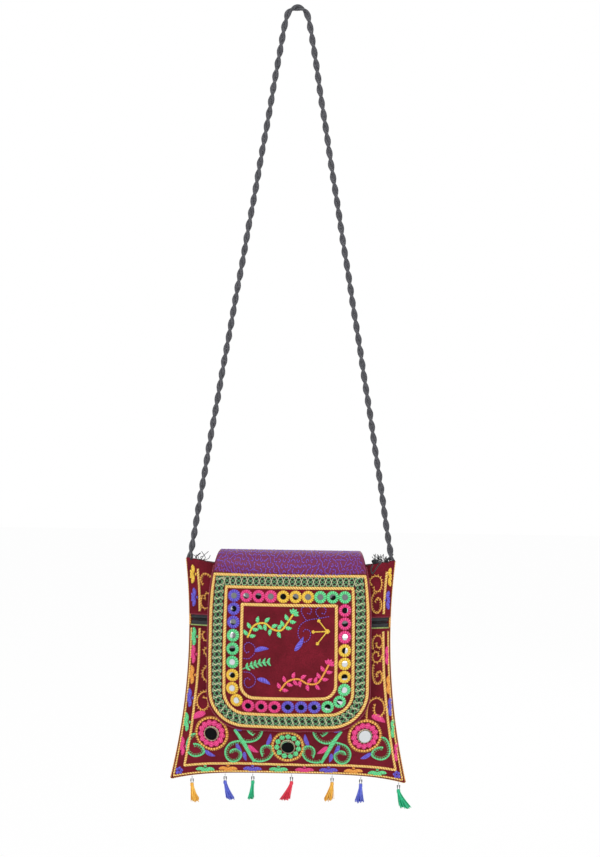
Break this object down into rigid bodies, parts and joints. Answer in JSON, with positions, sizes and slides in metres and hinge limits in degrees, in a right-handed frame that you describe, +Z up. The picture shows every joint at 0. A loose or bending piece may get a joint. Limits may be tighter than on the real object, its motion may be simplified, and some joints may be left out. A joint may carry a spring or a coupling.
{
  "type": "embroidered sling bag",
  "caption": "Flat cloth sling bag with embroidered flap, mirror work, zip pocket, tassels on the hem and a twisted shoulder cord.",
  "frame": {"origin": "the hang point: underside of the shoulder cord's top bend, where a hook bears", "axes": "+Z up, -Y out of the flap's front, +X to the viewer's right, across the mouth"},
  "size_m": [0.2542, 0.066, 0.8637],
  "materials": {
    "maroon_velvet": "short-pile cotton velvet with fine embroidery",
    "lining_cloth": "plain woven cotton",
    "zip_tape": "woven polyester tape",
    "zip_metal": "die-cast zip metal",
    "gold_braid": "woven gold-coloured braid",
    "lattice_braid": "woven lattice trim",
    "brocade": "satin brocade",
    "embroidery_thread": "rayon embroidery thread",
    "mirror_glass": "thin silvered glass",
    "cord_yarn": "two-ply twisted cotton cord",
    "bead_white": "small moulded beads",
    "tassel_yellow": "rayon floss",
    "tassel_blue": "rayon floss",
    "tassel_green": "rayon floss",
    "tassel_red": "rayon floss"
  },
  "bodies": {
    "bag": {"back_panel": "maroon_velvet", "brocade_band": "brocade", "flap_field_braid": "gold_braid", "flap_inner_braid": "gold_braid", "flap_lattice_band": "lattice_braid", "flap_lattice_top": "lattice_braid", "flap_lining": "lining_cloth", "flap_outer_braid": "gold_braid", "flap_panel": "maroon_velvet", "frame_braid": "gold_braid", "front_lower_panel": "maroon_velvet", "front_upper_panel": "maroon_velvet", "front_zip_coil": "zip_tape", "front_zip_tape_lower": "zip_tape", "front_zip_tape_upper": "zip_tape", "hem_braid": "gold_braid", "lining": "lining_cloth", "mirror_band": "embroidery_thread", "mirror_left": "mirror_glass", "mirror_middle": "mirror_glass", "mirror_right": "mirror_glass", "pocket_back": "lining_cloth", "rosette_left": "embroidery_thread", "rosette_middle": "embroidery_thread", "rosette_right": "embroidery_thread", "shoulder_cord": "cord_yarn", "side_braid_left": "gold_braid", "side_braid_right": "gold_braid", "top_zip_coil": "zip_tape", "top_zip_tape_back": "zip_tape", "top_zip_tape_front": "zip_tape"},
    "front_zip_pull": {"front_zip_pull": "zip_metal"},
    "front_zip_slider": {"front_zip_slider": "zip_metal"},
    "tassel_1_beads": {"tassel_1_beads": "bead_white"},
    "tassel_1_skirt": {"tassel_1_skirt": "tassel_yellow"},
    "tassel_2_beads": {"tassel_2_beads": "bead_white"},
    "tassel_2_skirt": {"tassel_2_skirt": "tassel_blue"},
    "tassel_3_beads": {"tassel_3_beads": "bead_white"},
    "tassel_3_skirt": {"tassel_3_skirt": "tassel_green"},
    "tassel_4_beads": {"tassel_4_beads": "bead_white"},
    "tassel_4_skirt": {"tassel_4_skirt": "tassel_red"},
    "tassel_5_beads": {"tassel_5_beads": "bead_white"},
    "tassel_5_skirt": {"tassel_5_skirt": "tassel_yellow"},
    "tassel_6_beads": {"tassel_6_beads": "bead_white"},
    "tassel_6_skirt": {"tassel_6_skirt": "tassel_blue"},
    "tassel_7_beads": {"tassel_7_beads": "bead_white"},
    "tassel_7_skirt": {"tassel_7_skirt": "tassel_green"},
    "top_zip_pull": {"top_zip_pull": "zip_metal"},
    "top_zip_slider": {"top_zip_slider": "zip_metal"}
  },
  "joints": [
    {"name": "front_zip_travel", "type": "hinge", "parent": "bag", "child": "front_zip_slider", "pos_m": [0, 0.29867, -0.655], "axis": [0, 0, 1], "range_deg": [-19.1, 8.25]},
    {"name": "front_pull_swing", "type": "hinge", "parent": "front_zip_slider", "child": "front_zip_pull", "pos_m": [0.03038, -0.02111, -0.65439], "axis": [-0.9955, -0.0946, 0], "range_deg": [0, 6]},
    {"name": "top_zip_travel", "type": "hinge", "parent": "bag", "child": "top_zip_slider", "pos_m": [0, 0, -0.07266], "axis": [0, -1, 0], "range_deg": [-13.08, 4.38]},
    {"name": "top_pull_swing", "type": "hinge", "parent": "top_zip_slider", "child": "top_zip_pull", "pos_m": [0.03972, 0, -0.59474], "axis": [-0.9971, 0, -0.0759], "range_deg": [0, 28]},
    {"name": "tassel_1_sway", "type": "hinge", "parent": "bag", "child": "tassel_1_beads", "pos_m": [-0.104, 0, -0.82473], "axis": [0, 1, 0], "range_deg": [-17, 17]},
    {"name": "tassel_1_swing", "type": "hinge", "parent": "tassel_1_beads", "child": "tassel_1_skirt", "pos_m": [-0.104, 0, -0.83237], "axis": [1, 0, 0], "range_deg": [-30, 30]},
    {"name": "tassel_2_sway", "type": "hinge", "parent": "bag", "child": "tassel_2_beads", "pos_m": [-0.068, 0, -0.82171], "axis": [0, 1, 0], "range_deg": [-17, 17]},
    {"name": "tassel_2_swing", "type": "hinge", "parent": "tassel_2_beads", "child": "tassel_2_skirt", "pos_m": [-0.068, 0, -0.82936], "axis": [1, 0, 0], "range_deg": [-30, 30]},
    {"name": "tassel_3_sway", "type": "hinge", "parent": "bag", "child": "tassel_3_beads", "pos_m": [-0.038, 0, -0.82113], "axis": [0, 1, 0], "range_deg": [-17, 17]},
    {"name": "tassel_3_swing", "type": "hinge", "parent": "tassel_3_beads", "child": "tassel_3_skirt", "pos_m": [-0.038, 0, -0.82878], "axis": [1, 0, 0], "range_deg": [-30, 30]},
    {"name": "tassel_4_sway", "type": "hinge", "parent": "bag", "child": "tassel_4_beads", "pos_m": [0.004, 0, -0.82108], "axis": [0, 1, 0], "range_deg": [-17, 17]},
    {"name": "tassel_4_swing", "type": "hinge", "parent": "tassel_4_beads", "child": "tassel_4_skirt", "pos_m": [0.004, 0, -0.82873], "axis": [1, 0, 0], "range_deg": [-30, 30]},
    {"name": "tassel_5_sway", "type": "hinge", "parent": "bag", "child": "tassel_5_beads", "pos_m": [0.04801, 0, -0.82122], "axis": [0, 1, 0], "range_deg": [-17, 17]},
    {"name": "tassel_5_swing", "type": "hinge", "parent": "tassel_5_beads", "child": "tassel_5_skirt", "pos_m": [0.04801, 0, -0.82887], "axis": [1, 0, 0], "range_deg": [-30, 30]},
    {"name": "tassel_6_sway", "type": "hinge", "parent": "bag", "child": "tassel_6_beads", "pos_m": [0.07899, 0, -0.82226], "axis": [0, 1, 0], "range_deg": [-17, 17]},
    {"name": "tassel_6_swing", "type": "hinge", "parent": "tassel_6_beads", "child": "tassel_6_skirt", "pos_m": [0.07899, 0, -0.82991], "axis": [1, 0, 0], "range_deg": [-30, 30]},
    {"name": "tassel_7_sway", "type": "hinge", "parent": "bag", "child": "tassel_7_beads", "pos_m": [0.12, 0, -0.82761], "axis": [0, 1, 0], "range_deg": [-17, 17]},
    {"name": "tassel_7_swing", "type": "hinge", "parent": "tassel_7_beads", "child": "tassel_7_skirt", "pos_m": [0.12, 0, -0.83526], "axis": [1, 0, 0], "range_deg": [-30, 30]}
  ]
}
